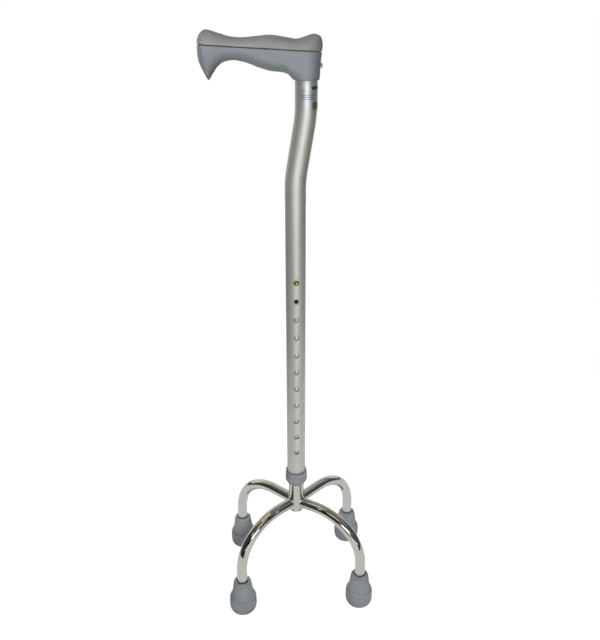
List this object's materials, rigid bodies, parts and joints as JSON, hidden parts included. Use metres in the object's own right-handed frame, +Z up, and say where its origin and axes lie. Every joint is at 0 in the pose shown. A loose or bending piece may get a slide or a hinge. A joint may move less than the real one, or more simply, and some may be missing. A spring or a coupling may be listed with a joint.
{
  "type": "quad cane",
  "caption": "Height-adjustable walking cane with an offset handle on a swan-neck tube, a telescoping stem with a snap button, and a small base of bent legs with rubber ferrules.",
  "frame": {"origin": "centre of the bounding box, on the floor plane the ferrules stand on", "axes": "+Z up along the stem and tube, -X the way the handle's nose points, +Y the side of the base that reaches further from the stem"},
  "size_m": [0.2158, 0.1772, 0.7835],
  "materials": {
    "chromed_steel": "bright chrome plating on steel tube",
    "foot_rubber": "matt moulded grey rubber",
    "zinc_steel": "zinc plated steel",
    "plug_plastic": "moulded black plastic",
    "spring_steel": "blued spring steel strip",
    "button_brass": "turned brass",
    "tube_aluminium": "satin anodised aluminium tube",
    "collar_plastic": "moulded grey plastic, satin",
    "label_film": "silver metallised film, left bare",
    "upper_grip_plastic": "warm grey moulded plastic, satin",
    "lower_grip_plastic": "cool grey moulded plastic, satin"
  },
  "bodies": {
    "base": {"base_stem": "chromed_steel", "stem_plug": "plug_plastic", "leg_front_left": "chromed_steel", "leg_front_right": "chromed_steel", "leg_rear_left": "chromed_steel", "leg_rear_right": "chromed_steel", "ferrule_front_left": "foot_rubber", "ferrule_front_right": "foot_rubber", "ferrule_rear_left": "foot_rubber", "ferrule_rear_right": "foot_rubber", "washer_front_left": "zinc_steel", "washer_front_right": "zinc_steel", "washer_rear_left": "zinc_steel", "washer_rear_right": "zinc_steel", "button_spring": "spring_steel"},
    "upper": {"outer_tube": "tube_aluminium", "tube_collar": "collar_plastic", "tube_label": "label_film", "handle_upper_shell": "upper_grip_plastic", "handle_lower_shell": "lower_grip_plastic", "handle_screw": "zinc_steel"},
    "button": {"snap_button": "button_brass"}
  },
  "joints": [
    {"name": "height_slide", "type": "slide", "parent": "base", "child": "upper", "axis": [0, 0, 1], "range_m": [0, 0.254], "deforming": ["snap_button", "button_spring"]},
    {"name": "button_press", "type": "slide", "parent": "base", "child": "button", "axis": [0, 1, 0], "range_m": [0, 0.004], "stiffness_N_per_m": 900, "deforming": ["button_spring"]}
  ]
}
